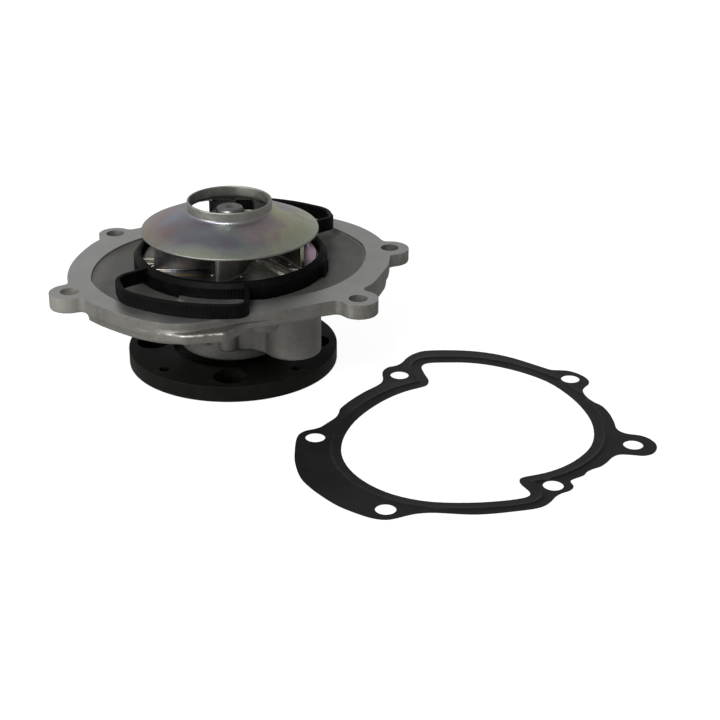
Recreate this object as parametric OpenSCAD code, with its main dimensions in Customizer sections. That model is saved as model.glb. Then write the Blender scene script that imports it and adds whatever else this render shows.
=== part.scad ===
// Engine coolant pump: die-cast housing with a twin volute, a pulley hub on an integral
// shaft bearing, a mechanical face seal, a shrouded pressed-steel impeller, a moulded
// rubber flow seal and a separate flange gasket.
// The origin is on the shaft axis at the outer face of the pulley hub; +Z runs up the
// shaft to the impeller eye. All sizes are in millimetres.

/* [Pulley hub] */
// Outer diameter of the pulley hub disc
hub_d = 98; // [94:1:104]
// Thickness of the pulley hub disc
hub_t = 7.6; // [7:0.2:8.4]
// Pitch circle of the threaded pulley holes
pulley_pcd = 84.6; // [82:0.2:86]
// Pitch circle of the large access holes
access_pcd = 75.6; // [74:0.2:77]

/* [Housing] */
// Height of the machined flange face above the hub's outer face
flange_z = 48; // [47.6:0.1:48.4]
// Thickness of the flange and its lugs
flange_t = 7.0; // [6:0.2:8]
// Depth of the volute below the flange face
volute_depth = 1.5; // [1.2:0.1:1.8]
// Diameter of the bolt holes in the flange
bolt_hole_d = 8.5; // [8:0.1:9]
// Outer diameter of the bearing neck
neck_d = 49; // [46:0.5:51]

/* [Bearing and shaft] */
// Outer diameter of the shaft bearing
bearing_d = 38.1; // [38:0.1:38.2]
// Diameter of the shaft
shaft_d = 15.9; // [15.8:0.1:16]
// Number of balls in the ball row
ball_count = 8; // [6:1:8]
// Number of rollers in the roller row
roller_count = 10; // [8:1:10]

/* [Impeller] */
// Diameter of the shroud's rim
shroud_d = 81; // [80:0.5:82]
// Outer diameter of the impeller eye
eye_d = 38.6; // [38:0.2:39]
// Thickness of the pressed sheet steel
sheet_t = 1.0; // [0.8:0.1:1.2]

/* [Gasket] */
// Thickness of the flange gasket
gasket_t = 0.9; // [0.6:0.1:1.2]

/* [Hidden] */
$fn = 64;
eps = 0.01;

// Housing heights
floor_z = flange_z - volute_depth;
lug_z = flange_z - flange_t;
rim_z = flange_z - 10;
shell_z = flange_z - 10.6;
neck_z = 9;
bearing_z0 = 11;
bearing_z1 = 37;

// Flange bolts, anticlockwise from the right-hand lug
bolts = [[73.5, 20], [4.5, 62.6], [-58.8, 36], [-68.3, -37], [5.8, -53.6], [58.9, -42]];
// Lug pads: centre and radius
lugs = [[73.8, 19.7, 8.8], [4.5, 62.6, 8.2], [-58.8, 35.9, 7.8],
        [-68.6, -37.4, 8.8], [5.8, -53.6, 8], [59.3, -41.6, 8.6]];
// The first lug is thinner than the rest
thin_lug_z = flange_z - 6.4;

// Twin volute: two half-turn scrolls about the shaft
scroll_start = -80;
scroll_r0 = 45.2;
scroll_growth = 0.2;
scroll_max = 65.6;
scroll_end = 74;
tongue_tip = 61;
ring_seat_r = 44.6;

// Bearing neck and its cast bosses
reservoir_xy = [29.1, -24];
reservoir_d = 26.2;
reservoir_z = 14.9;
core_boss_xy = [0.1, -25.4];
core_boss_z = 15.5;
rib_angles = [125, 165, 205, 245, 25, 75];

// Shaft bearing
shaft_r = shaft_d / 2;
race_r = bearing_d / 2;
race_bore_r = 13.2;
ball_r = 3.8;
ball_row_r = 11.6;
ball_z = 17.6;
roller_r = 2.5;
roller_row_r = 10.55;
roller_z = 28;
roller_l = 8.8;
running = 0.08;

// Face seal
seal_bore_r = 15.1;
seal_z = 40;
face_z = 47.8;

// Impeller
tip_r = 6.45;
shaft_top = 75.5;
plate_z = 50;
plate_r = 40.2;
land_r = 39.6;
land_z = plate_z + 1.2;
insert_r = 9.5;
eye_top = 78.5;
eye_base = 73.4;
rim_top = 65.1;
vane_tips = [-28.5, 25.5];
vane_wrap = 32;
vane_out_r = 38.4;
vane_in_r = 18;
seam_angle = -51;
seam_offset = 7.75;
seam_gap = 0.7;

// Gasket centre, on the surface that the pump stands on
gasket_xy = [108.3, -73.5];

function polar(r, a) = [r * cos(a), r * sin(a)];
function sweep(r, a0, a1, n) = [for (i = [0:n]) polar(r, a0 + (a1 - a0) * i / n)];
function unit(v) = v / norm(v);

// Corner of a path, rounded from d before the corner to d after it
function rounded(p, c, q, d, n = 6) =
    let (a = c + unit(p - c) * d, b = c + unit(q - c) * d)
    [for (i = [0:n]) let (t = i / n) a * (1 - t) * (1 - t) + c * 2 * t * (1 - t) + b * t * t];

// One point on a smooth curve through four neighbours
function curve_point(a, b, c, d, t) =
    0.5 * (2 * b + (c - a) * t + (2 * a - 5 * b + 4 * c - d) * t * t
           + (3 * b - a - 3 * c + d) * t * t * t);

// Closed smooth curve through the points
function smooth(p, n = 5) =
    [for (i = [0:len(p) - 1]) for (k = [0:n - 1])
        curve_point(p[(i + len(p) - 1) % len(p)], p[i],
                    p[(i + 1) % len(p)], p[(i + 2) % len(p)], k / n)];

// Polar pairs [angle, radius] turned into points
function outline(pairs) = [for (p = pairs) polar(p[1], p[0])];

// Open path widened by w on each side
function side(p, i, w) =
    let (a = p[max(i - 1, 0)], b = p[min(i + 1, len(p) - 1)], d = unit(b - a))
    p[i] + [-d[1], d[0]] * w;
function widened(p, w) =
    concat([for (i = [0:len(p) - 1]) side(p, i, w)],
           [for (i = [len(p) - 1:-1:0]) side(p, i, -w)]);

module ring(r_out, r_in, z0, z1) {
    translate([0, 0, z0])
        difference() {
            cylinder(r = r_out, h = z1 - z0);
            translate([0, 0, -1]) cylinder(r = r_in, h = z1 - z0 + 2);
        }
}

module slab(points, z0, z1) {
    translate([0, 0, z0]) linear_extrude(z1 - z0) polygon(points);
}

// ---- Housing ----

// Edge of the flange between its lugs
flange_edge = outline([
    [0, 72.8], [8, 74.2], [16, 75.6], [28, 76.4], [40, 76.4], [52, 75.2], [64, 73.4], [76, 70],
    [88, 66], [100, 61.5], [112, 60.5], [124, 62.5], [136, 64.5], [146, 68], [158, 70.6],
    [168, 71.3], [178, 72.4], [188, 73.9], [199, 75.4], [210, 75.8], [218, 75.4], [228, 74.6],
    [242, 74.7], [252, 74.2], [260, 71.6], [269, 66.4], [277, 62.8], [285, 61.6], [296, 61.7],
    [304, 62], [312, 63.6], [320, 67], [329, 68.2], [335, 68.6], [341, 69.8], [349, 70.4],
    [355, 71.6]]);

function scroll_r(a) = min(scroll_max, scroll_r0 + scroll_growth * (a - scroll_start));

// Half of the volute, from its narrow start round to its outlet and back down the tongue
function scroll_half() = concat(
    [for (a = [scroll_start:6:scroll_end - 6]) polar(scroll_r(a), a)],
    rounded(polar(scroll_max, scroll_end - 8), polar(scroll_max, scroll_end),
            polar(51, scroll_end), 5),
    rounded(polar(scroll_max, scroll_end), polar(51.5, scroll_end),
            polar(48, tongue_tip + 6), 3),
    [polar(ring_seat_r - 0.4, tongue_tip)],
    sweep(40, tongue_tip - 4, scroll_start + 4, 10));

// Plan of the volute and the ring seat, with the corners beside the tongues filleted
module volute_plan() {
    offset(r = -0.8, $fn = 24) offset(r = 0.8, $fn = 24) {
        for (turn = [0, 180]) rotate(turn) polygon(scroll_half());
        circle(r = ring_seat_r, $fn = 120);
    }
}

// Plan of the flange: its edge, the lugs and their necks, with filleted inner corners
module flange_plan() {
    offset(r = -3, $fn = 24) offset(r = 3, $fn = 24) {
        polygon(smooth(flange_edge, 4));
        for (l = lugs) {
            translate([l[0], l[1]]) circle(r = l[2]);
            rotate(atan2(l[1], l[0]))
                translate([norm([l[0], l[1]]) - 20, -l[2] * 0.8]) square([20, l[2] * 1.6]);
        }
    }
}

// Part of the flange's plan between two angles, drawn in from its edge
module rim_plan(a0, a1, inset) {
    offset(r = 1.5, $fn = 24) offset(delta = -1.5 - inset)
        intersection() {
            flange_plan();
            polygon(concat([[0, 0]], sweep(90, a0, a1, 8)));
        }
}

// Ledge of the casting that stands proud below the front edge
module ledge_plan() {
    offset(r = 3, $fn = 24) offset(delta = -3)
        polygon([[-34, -60], [-27, -69.8], [-14, -74], [3, -70.4], [11.5, -60], [10, -40],
                 [-30, -40]]);
}

module plate(z0, z1) {
    translate([0, 0, z0]) linear_extrude(z1 - z0) children();
}

module neck_solids() {
    translate([0, 0, neck_z]) cylinder(d1 = neck_d, d2 = neck_d + 1, h = shell_z - neck_z + 1);
    // Coved foot where the neck meets the volute shell
    translate([0, 0, shell_z - 7])
        rotate_extrude()
            difference() {
                square([neck_d / 2 + 6, 8]);
                translate([neck_d / 2 + 6.4, 0]) circle(r = 6);
            }
    translate([reservoir_xy[0], reservoir_xy[1], reservoir_z])
        cylinder(d = reservoir_d, h = shell_z - reservoir_z + 2);
    translate([core_boss_xy[0], core_boss_xy[1], core_boss_z]) cylinder(r = 4.5, h = 23.5);
    // Flat rib and web that tie the neck to the reservoir boss
    translate([3, -26.2, core_boss_z - 0.4]) cube([8.4, 16.8, 23.9]);
    // Flat flank from the rib to the reservoir
    plate(reservoir_z + 0.2, shell_z + 1.5) polygon([[10.6, -25.6], [21.6, -32.6], [26, -24], [13, -12]]);
    rotate([0, 0, atan2(reservoir_xy[1], reservoir_xy[0])])
        translate([10, -8, reservoir_z]) cube([22, 15, 24]);
    // Stiffening ribs under the volute shell
    for (a = rib_angles)
        rotate([0, 0, a])
            translate([0, 2.2, 0])
                rotate([90, 0, 0])
                    linear_extrude(4.4)
                        polygon([[20, shell_z + 1], [20, 17], [neck_d / 2 + 0.5, 17],
                                 [46, shell_z - 3], [58, shell_z + 1]]);
}

module housing_solids() {
    difference() {
        plate(lug_z, flange_z) flange_plan();
        translate([lugs[0][0] + 1, lugs[0][1], rim_z]) cylinder(r = 13, h = thin_lug_z - rim_z);
    }
    // Deeper rim outside each outlet, and the volute shell under the flange
    plate(rim_z, lug_z + 0.5) rim_plan(30, 76, 0.5);
    plate(rim_z, lug_z + 0.5) rim_plan(217, 262, 0.4);
    plate(shell_z - 2, lug_z + 0.5) rim_plan(-30, 9, 1.4);
    plate(lug_z - 1.9, flange_z - 4.2) ledge_plan();
    plate(shell_z, lug_z + 0.6) offset(r = 4.8, $fn = 24) volute_plan();
    neck_solids();
}

module housing() {
    color("silver")
    difference() {
        housing_solids();
        // Volute, ring seat and impeller chamber
        plate(floor_z, flange_z + 1) volute_plan();
        // Bolt holes
        for (b = bolts) translate([b[0], b[1], rim_z - 6]) cylinder(d = bolt_hole_d, h = 20);
        // Bearing bore, seal bore and weep chamber
        translate([0, 0, neck_z - 1]) cylinder(r = race_r, h = bearing_z1 - neck_z + 1);
        translate([0, 0, bearing_z1 - eps]) cylinder(r = seal_bore_r, h = 12);
        translate([0, 0, neck_z - 0.5]) cylinder(r1 = race_r + 1.2, r2 = race_r, h = 1.2);
        // Weep drilling to the reservoir, the reservoir itself and the vent
        translate([0, 0, 38.6])
            rotate([0, 0, atan2(reservoir_xy[1], reservoir_xy[0])])
                translate([12, 0, 0]) rotate([0, 122, 0]) cylinder(r = 2, h = 22);
        translate([reservoir_xy[0], reservoir_xy[1], reservoir_z - 1]) cylinder(r = 9, h = 19);
        translate([0, 0, 38.6]) rotate([0, 0, 185]) rotate([0, 96, 0]) cylinder(r = 2, h = 60);
    }
}

module reservoir_plug() {
    color("gainsboro")
    translate([reservoir_xy[0], reservoir_xy[1], reservoir_z + 0.6])
        difference() {
            cylinder(r = 9, h = 4);
            translate([0, 0, -1]) cylinder(r = 8.2, h = 4.2);
        }
}

// ---- Flow seal ----

seal_top = 55;
// The back loop stands up a little from the flange, as moulded rubber does when it is loose
back_lift = 2.4;
seal_foot = floor_z + 0.05;
lip_foot = flange_z + 0.05;

// Centre line of an outlet loop, from the ring out, round the outlet and back to the ring
loop_path = concat(
    [polar(43, -146)],
    rounded(polar(43, -146), [-47, -33.4], [-46, -44], 5.5),
    rounded([-47, -33.4], [-43.6, -49.5], [-33, -56.4], 6),
    sweep(65.2, -119, -88, 10),
    rounded(polar(65.2, -88), [12, -64.4], [10.6, -50], 6),
    [[10.4, -41.6]]);

module flow_seal() {
    color("#17181a")
    difference() {
        union() {
            rotate_extrude($fn = 96)
                polygon([[40.8, seal_foot], [44.4, seal_foot], [44.4, 52.6], [43.8, 53.2],
                         [42.7, seal_top - 0.3], [42.3, seal_top], [41.1, seal_top],
                         [40.8, seal_top - 0.3]]);
            for (loop = [[0, 0], [180, back_lift]])
                rotate([0, 0, loop[0]])
                    slab(widened(loop_path, 1.15), lip_foot + loop[1], seal_top - 0.6 + loop[1]);
            // Grip pad on the right of the ring
            rotate([0, 0, -15]) translate([42, -4.2, seal_foot]) cube([3.9, 8.4, 7.2]);
        }
        translate([0, 0, seal_foot - 1]) cylinder(r = 40.8, h = 12);
    }
}

// ---- Rotor: hub, shaft and slinger ----

module drive_hub() {
    color("#2c2b26")
    difference() {
        union() {
            cylinder(d = hub_d, h = hub_t, $fn = 96);
            cylinder(r = 12.8, h = bearing_z0 - 0.6);
        }
        // Pilot recess for the pulley and the groove round the neck
        translate([0, 0, -1]) cylinder(r = 12.5, h = 2.5);
        difference() {
            translate([0, 0, hub_t - 3]) cylinder(r = 28, h = 4);
            translate([0, 0, hub_t - 4]) cylinder(r = 15.5, h = 6);
        }
        translate([0, 0, -1]) cylinder(r = shaft_r, h = 20);
        for (a = [-88:90:182])
            rotate([0, 0, a]) translate([access_pcd / 2, 0, -1]) cylinder(r = 7.5, h = 12);
        for (a = [-43:90:227])
            rotate([0, 0, a]) translate([pulley_pcd / 2, 0, -1]) cylinder(r = 2.5, h = 12);
    }
}

module shaft() {
    color("silver")
    difference() {
        union() {
            translate([0, 0, 2]) cylinder(r = shaft_r, h = plate_z - 2);
            translate([0, 0, plate_z - eps]) cylinder(r = tip_r, h = shaft_top - plate_z - 0.7);
            translate([0, 0, shaft_top - 0.7 - eps]) cylinder(r1 = tip_r, r2 = tip_r - 0.7, h = 0.7);
        }
        translate([0, 0, ball_z])
            rotate_extrude() translate([ball_row_r, 0]) circle(r = ball_r + running);
    }
}

module slinger() {
    color("gainsboro")
    union() {
        ring(13, shaft_r, 38, 38.8);
        ring(9, shaft_r, 38, 39.6);
    }
}

// ---- Shaft bearing ----

module bearing_outer_race() {
    color("silver")
    difference() {
        ring(race_r, race_bore_r, bearing_z0, bearing_z1);
        translate([0, 0, ball_z])
            rotate_extrude() translate([ball_row_r, 0]) circle(r = ball_r + running);
    }
}

module bearing_balls() {
    color("gainsboro")
    for (i = [0:ball_count - 1])
        rotate([0, 0, i * 360 / ball_count]) translate([ball_row_r, 0, ball_z]) sphere(r = ball_r);
}

module ball_cage() {
    color("peru")
    difference() {
        ring(12.8, 9.7, ball_z - 4.2, ball_z + 4.2);
        for (i = [0:ball_count - 1])
            rotate([0, 0, i * 360 / ball_count])
                translate([ball_row_r, 0, ball_z]) sphere(r = ball_r + running);
    }
}

module bearing_rollers() {
    color("gainsboro")
    for (i = [0:roller_count - 1])
        rotate([0, 0, i * 360 / roller_count])
            translate([roller_row_r, 0, roller_z - roller_l / 2])
                cylinder(r = roller_r, h = roller_l);
}

module roller_cage() {
    color("peru")
    difference() {
        ring(12.2, 9.1, roller_z - 5.6, roller_z + 5.6);
        for (i = [0:roller_count - 1])
            rotate([0, 0, i * 360 / roller_count])
                translate([roller_row_r, 0, roller_z - roller_l / 2 - running])
                    cylinder(r = roller_r + running, h = roller_l + 2 * running);
    }
}

module bearing_seal(z) {
    color("#202022")
    ring(race_bore_r, shaft_r + 0.3, z, z + 1.5);
}

// ---- Face seal ----

module seal_cup() {
    color("goldenrod")
    difference() {
        union() {
            translate([0, 0, seal_z]) cylinder(r = seal_bore_r, h = floor_z - seal_z + 0.6);
            translate([0, 0, floor_z]) cylinder(r = 17.6, h = 0.6);
        }
        translate([0, 0, seal_z + 0.6]) cylinder(r = seal_bore_r - 0.6, h = 10);
        translate([0, 0, seal_z - 1]) cylinder(r = 8.6, h = 3);
    }
}

module seal_bellows() {
    color("#202022")
    union() {
        ring(11.6, 8.6, seal_z + 0.6, seal_z + 1.5);
        ring(9.6, 8.6, seal_z + 1, 45);
        ring(14.1, 8.6, 44.6, 45.4);
    }
}

spring_r = 13.3;
spring_wire = 0.55;
spring_coils = 4;

// The coils touch, so they are drawn as closed rings
module seal_spring() {
    pitch = (44.6 - seal_z - 1.8) / (spring_coils - 1);
    color("lightsteelblue")
    rotate_extrude()
        for (i = [0:spring_coils - 1])
            translate([spring_r, seal_z + 1.2 + i * pitch]) circle(r = spring_wire);
}

module seal_carbon_ring() {
    color("#2a2b2e")
    union() {
        ring(13.4, 9.2, 45.4, 46.8);
        ring(12.4, 10.2, 46.7, face_z);
    }
}

module seal_mating_ring() {
    color("ivory")
    ring(13.4, 9.7, face_z + 0.04, face_z + 1.4);
}

module seal_mating_boot() {
    color("#202022")
    union() {
        ring(9.7, shaft_r, 48.2, plate_z);
        ring(14.2, 9.6, face_z + 1.4, plate_z);
    }
}

// ---- Impeller ----

module impeller_hub() {
    color("silver")
    union() {
        ring(insert_r, tip_r, plate_z, 71.5);
        ring(13, tip_r, land_z, land_z + 1.6);
    }
}

module impeller_back_plate() {
    color("khaki")
    ring(plate_r, insert_r, plate_z, land_z);
}

// Inside of the shroud, as a solid of revolution with a cylindrical eye
module shroud_inside() {
    rotate_extrude()
        polygon([[0, 40], [shroud_d / 2, 40], [shroud_d / 2, rim_top - sheet_t],
                 [eye_d / 2 + 2.2, eye_base - sheet_t - 1.1], [eye_d / 2 - sheet_t, eye_base],
                 [0, eye_base]]);
}

// Centre line of a backward-curved vane: t runs from 0 at its outer end to 1 at the eye
function vane_point(tip, t) =
    polar(vane_out_r - (vane_out_r - vane_in_r) * t, tip + vane_wrap * pow(t, 1.15));

// A vane of folded sheet, its two layers open at the outer end, trimmed to the shroud
module vane(tip) {
    path = [for (i = [0:14]) vane_point(tip, i / 14)];
    slit = [vane_point(tip, 0) * 1.03, vane_point(tip, 0.1), vane_point(tip, 0.22)];
    intersection() {
        difference() {
            slab(widened(path, 0.95), land_z + 0.6, eye_base - 0.5);
            slab(widened(slit, 0.2), land_z + 2, eye_base + 1);
        }
        shroud_inside();
    }
}

// Foot of one segment: a third of a flat disc, bounded by two seams beside the centre
module foot_plan() {
    start = seam_angle;
    stop = seam_angle + 120;
    n0 = polar(seam_offset + seam_gap / 2, start + 90);
    n1 = polar(seam_offset - seam_gap / 2, stop + 90);
    far = 80;
    difference() {
        circle(r = land_r, $fn = 96);
        circle(r = 13.3);
        polygon([n0 - polar(3, start), n0 + polar(far, start), polar(far * 1.5, start - 60),
                 polar(far * 1.5, start - 120), polar(far * 1.5, stop + 120),
                 polar(far * 1.5, stop + 60), n1 + polar(far, stop), n1 - polar(4.5, stop)]);
    }
}

// Raised edges of the foot along its two seams
module seam_lips() {
    for (s = [[seam_angle, 1], [seam_angle + 120, -1]])
        rotate([0, 0, s[0]])
            translate([16, seam_offset + s[1] * (seam_gap / 2 + 0.5) - 0.4, land_z + 0.5])
                cube([22, 0.8, 1.3]);
}

// One of three pressed segments: a flat foot with raised seams and two vanes
module vane_segment(turn) {
    color("khaki")
    rotate([0, 0, turn])
    union() {
        plate(land_z, land_z + 1) foot_plan();
        for (tip = vane_tips) vane(tip);
        seam_lips();
    }
}

module impeller_shroud() {
    color("khaki")
    rotate_extrude($fn = 128)
        polygon([[shroud_d / 2, rim_top - sheet_t], [shroud_d / 2, rim_top - 0.1],
                 [eye_d / 2 + 3.6, eye_base - 1.0], [eye_d / 2 + 1.6, eye_base + 0.1],
                 [eye_d / 2 + 0.4, eye_base + 1.2], [eye_d / 2, eye_base + 2.2],
                 [eye_d / 2, eye_top], [eye_d / 2 - sheet_t, eye_top],
                 [eye_d / 2 - sheet_t, eye_base],
                 [eye_d / 2 + 2.2, eye_base - sheet_t - 1.1]]);
}

// ---- Gasket ----

// Bolt holes of the gasket, from its own centre
gasket_holes = [[-30, 53.5], [48.8, 51], [-67.2, -8.6], [68, -12.7], [30.2, -48], [-37.8, -68]];

// Water opening: two scroll curves, each ending in a rounded corner and a tongue
gasket_inner = [
    [-5.7, 68.3], [-15, 67.6], [-18.6, 65.4], [-19.5, 61.6], [-18.7, 56.5], [-17.2, 50.5],
    [-16.7, 47.3], [-17.7, 43.6], [-20.4, 41.4], [-28.1, 36.7], [-36.1, 29.3], [-43.9, 19],
    [-50.5, 6.9], [-54.6, -5.9], [-56, -17.1], [-55.2, -26.9], [-52.2, -36.3], [-47.1, -45],
    [-40.1, -52.5], [-31.2, -58.3], [-19.4, -62], [-4.4, -62.4], [8.1, -60.8], [16.4, -58.6],
    [19.6, -56.6], [20.3, -54.2], [19.6, -51.6], [17.4, -47.2], [16.9, -44], [18.9, -41.4],
    [27.7, -37.9], [36, -32.5], [43.7, -24.5], [49.7, -14.6], [52.7, -2.7], [52.9, 10.1],
    [50.2, 23.3], [45.5, 35.6], [37.8, 48.4], [26.1, 58.7], [13.9, 65.2], [3.5, 68]];

gasket_outer = [
    [-8, 81.4], [-17.6, 80.3], [-22.6, 77], [-26, 72.6], [-28.6, 67], [-31.2, 63.8], [-34.8, 62],
    [-37, 59.2], [-38, 55], [-37.7, 50], [-38.4, 45.6], [-41, 41.6], [-46.2, 35.7],
    [-51.7, 28.1], [-56.6, 19.6], [-57.5, 15], [-58.6, 10.7], [-60.6, 7.4], [-62.6, 4.6],
    [-65, 1.2], [-68, -0.9], [-71.6, -2.6], [-74.2, -5.8], [-75.3, -11], [-75.5, -20.7],
    [-75, -30.4], [-72.4, -42.6], [-68.1, -51], [-62.4, -58.8], [-56.4, -65.5], [-49, -71.1],
    [-43.1, -74.5], [-37.8, -75.6], [-33.3, -74.2], [-29, -72], [-24.6, -70.5], [-18.3, -69.9],
    [-5, -71], [4, -70.2], [12.4, -68.4], [20.6, -66.3], [25.1, -63.9], [28, -60.5],
    [30.6, -56.2], [33.4, -53.6], [36.6, -51.6], [38.4, -48.6], [37.6, -44.8], [38.8, -42.5],
    [43.6, -39.2], [45.4, -36.2], [48, -33.8], [51.8, -31.4], [55, -27.6], [57.6, -23.6],
    [61, -21], [66, -21.2], [71.1, -21.9], [75.4, -19.8], [77.7, -15.2], [77.6, -10.8],
    [75.4, -6.6], [72, -4.1], [67.4, -2.9], [64.4, -0.8], [63, 2.6], [62.9, 8], [62, 16],
    [59.8, 23.4], [56.6, 27.4], [54.3, 31.8], [53.2, 36], [53.2, 39.8], [54.6, 43], [56.6, 46],
    [57.1, 49], [56, 52.6], [53.1, 56.6], [49.2, 59.4], [45, 60.2], [40.8, 60.6], [36, 64.2],
    [24.5, 73], [14.8, 78], [4.3, 80.8]];

module gasket() {
    color("#1b1c1e")
    translate([gasket_xy[0], gasket_xy[1], 0])
        difference() {
            slab(smooth(gasket_outer, 3), 0, gasket_t);
            slab(smooth(gasket_inner, 3), -1, gasket_t + 1);
            for (h = gasket_holes)
                translate([h[0], h[1], -1]) cylinder(d = bolt_hole_d, h = gasket_t + 2);
        }
}

housing();
reservoir_plug();
flow_seal();
drive_hub();
shaft();
bearing_outer_race();
bearing_balls();
ball_cage();
bearing_rollers();
roller_cage();
bearing_seal(bearing_z0 + 0.4);  // bearing_seal_hub_side
bearing_seal(bearing_z1 - 1.9);  // bearing_seal_pump_side
slinger();
seal_cup();
seal_bellows();
seal_spring();
seal_carbon_ring();
seal_mating_ring();
seal_mating_boot();
impeller_hub();
impeller_back_plate();
vane_segment(0);  // vane_segment_1
vane_segment(120);  // vane_segment_2
vane_segment(240);  // vane_segment_3
impeller_shroud();
gasket();
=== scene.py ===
"""Engine coolant pump with its loose gasket: the looks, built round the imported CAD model."""

import math

import bmesh
import bpy
import numpy as np
from mathutils import Matrix, Vector
from mathutils.geometry import delaunay_2d_cdt


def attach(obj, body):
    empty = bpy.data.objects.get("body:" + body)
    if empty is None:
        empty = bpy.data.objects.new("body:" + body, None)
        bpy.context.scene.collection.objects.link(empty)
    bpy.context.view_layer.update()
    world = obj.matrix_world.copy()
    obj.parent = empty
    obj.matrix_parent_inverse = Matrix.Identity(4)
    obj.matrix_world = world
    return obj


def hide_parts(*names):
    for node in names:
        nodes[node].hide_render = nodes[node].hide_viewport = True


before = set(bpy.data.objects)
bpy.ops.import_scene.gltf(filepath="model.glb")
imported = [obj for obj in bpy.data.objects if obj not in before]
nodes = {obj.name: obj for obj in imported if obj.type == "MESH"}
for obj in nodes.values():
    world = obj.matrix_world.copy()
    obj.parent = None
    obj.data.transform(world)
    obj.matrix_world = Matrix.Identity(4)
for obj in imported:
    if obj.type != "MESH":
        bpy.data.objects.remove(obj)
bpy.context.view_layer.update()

MM = 0.001

# Sizes and heights in millimetres, as in the CAD part
FLANGE_Z = 48.0
FLOOR_Z = 46.5
PAD_AT, PAD_R, PAD_T = Vector((17.6, -46.3, 37.3)), 6.5, 3.6
SEAL_GAP = 0.06
RING_IN, RING_OUT, RING_TOP = 40.8, 44.4, 55.0
LOOP_HALF, LOOP_TOP, LOOP_R, BACK_LIFT = 1.15, 54.4, 65.2, 2.4
HUB_R, HUB_T, HUB_BOSS_R, HUB_TOP, PILOT_R = 48.95, 7.6, 12.8, 10.4, 12.5
SHAFT_R, TIP_R, SHAFT_STEP_Z, SHAFT_TOP = 7.95, 6.45, 50.0, 75.0
BALL_ROW_Z = 17.6
SHROUD_R, SHROUD_RIM_Z, EYE_R, EYE_TOP, SHEET_T = 40.5, 65.0, 19.3, 78.5, 1.0
INSERT_R, INSERT_FLANGE_R, INSERT_TOP = 9.5, 13.0, 71.5
PLATE_TOP = 52.16

# The camera's place in millimetres, and its tilt down and its roll in degrees
CAMERA_AT, CAMERA_TILT, CAMERA_ROLL = Vector((59.9118, -671.0632, 314.2563)), 25.2, 0.5


# ---- Shaders ----


class Nodes:
    """A node tree, put together node by node."""

    def __init__(self, tree):
        self.tree = tree

    def put(self, socket, value):
        if isinstance(value, bpy.types.NodeSocket):
            self.tree.links.new(value, socket)
        elif isinstance(value, tuple) and len(value) == 3 and socket.type == "RGBA":
            socket.default_value = (*value, 1)
        else:
            socket.default_value = value

    def node(self, kind, sockets=None, **settings):
        made = self.tree.nodes.new(kind)
        for key, value in settings.items():
            setattr(made, key, value)
        for key, value in (sockets or {}).items():
            self.put(made.inputs[key], value)
        return made

    def span(self, value, low, high, to_low=0.0, to_high=1.0):
        """The value carried from low..high to to_low..to_high, and held at both ends."""
        return self.node("ShaderNodeMapRange", {
            "Value": value, "From Min": low, "From Max": high,
            "To Min": to_low, "To Max": to_high}).outputs[0]

    def calc(self, kind, a, b=0.0):
        return self.node("ShaderNodeMath", {0: a, 1: b}, operation=kind).outputs[0]

    def product(self, first, *others):
        for other in others:
            first = self.calc("MULTIPLY", first, other)
        return first


class Shader(Nodes):
    """A Principled material whose sizes and places are in millimetres on the object."""

    def __init__(self, name, **sockets):
        self.material = bpy.data.materials.new(name)
        self.material.use_nodes = True
        super().__init__(self.material.node_tree)
        self.bsdf = self.tree.nodes["Principled BSDF"]
        self.coords = self.node("ShaderNodeTexCoord").outputs["Object"]
        for socket, value in sockets.items():
            self.put(self.bsdf.inputs[socket.replace("_", " ")], value)

    def axes(self):
        return self.node("ShaderNodeSeparateXYZ", {0: self.coords}).outputs

    def from_axis(self):
        """Distance from the shaft axis."""
        x, y, _ = self.axes()
        return self.calc("SQRT", self.calc("ADD", self.product(x, x), self.product(y, y)))

    def fade(self, place, low, high, to_low=0.0, to_high=1.0):
        """A span whose ends are places on the object."""
        return self.span(place, low * MM, high * MM, to_low, to_high)

    def band(self, place, start, full, ebb, end):
        """1 from full to ebb, and 0 before start and past end."""
        return self.product(self.fade(place, start, full), self.fade(place, ebb, end, 1.0, 0.0))

    def edges(self, low, high):
        """1 along the sharp outer edges."""
        pointiness = self.node("ShaderNodeNewGeometry").outputs["Pointiness"]
        return self.span(pointiness, low, high)

    def noise(self, size, detail=3, roughness=0.55, stretch=(1, 1, 1), distortion=0.0):
        vector = self.node("ShaderNodeMapping", {"Vector": self.coords, "Scale": stretch})
        return self.node("ShaderNodeTexNoise", {
            "Vector": vector.outputs[0], "Scale": 1 / MM / size, "Detail": detail,
            "Roughness": roughness, "Distortion": distortion}).outputs[0]

    def ramp(self, value, stops):
        made = self.node("ShaderNodeValToRGB", {"Fac": value})
        ramp = made.color_ramp
        while len(ramp.elements) < len(stops):
            ramp.elements.new(0.5)
        for element, (position, colour) in zip(ramp.elements, stops):
            element.position = position
            element.color = (*colour, 1)
        return made.outputs["Color"]

    def mix(self, share, a, b):
        made = self.node("ShaderNodeMix", {0: share}, data_type="RGBA", blend_type="MIX")
        self.put(made.inputs[6], a)
        self.put(made.inputs[7], b)
        return made.outputs[2]

    def bump(self, height, depth, normal=None):
        sockets = {"Height": height, "Distance": depth * MM, "Strength": 1.0}
        if normal is not None:
            sockets["Normal"] = normal
        return self.node("ShaderNodeBump", sockets).outputs[0]

    def finish(self, colour, roughness, normal):
        self.put(self.bsdf.inputs["Base Color"], colour)
        self.put(self.bsdf.inputs["Roughness"], roughness)
        self.put(self.bsdf.inputs["Normal"], normal)
        return self.material


def shaded(colour, tone):
    return tuple(c * tone for c in colour)


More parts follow.
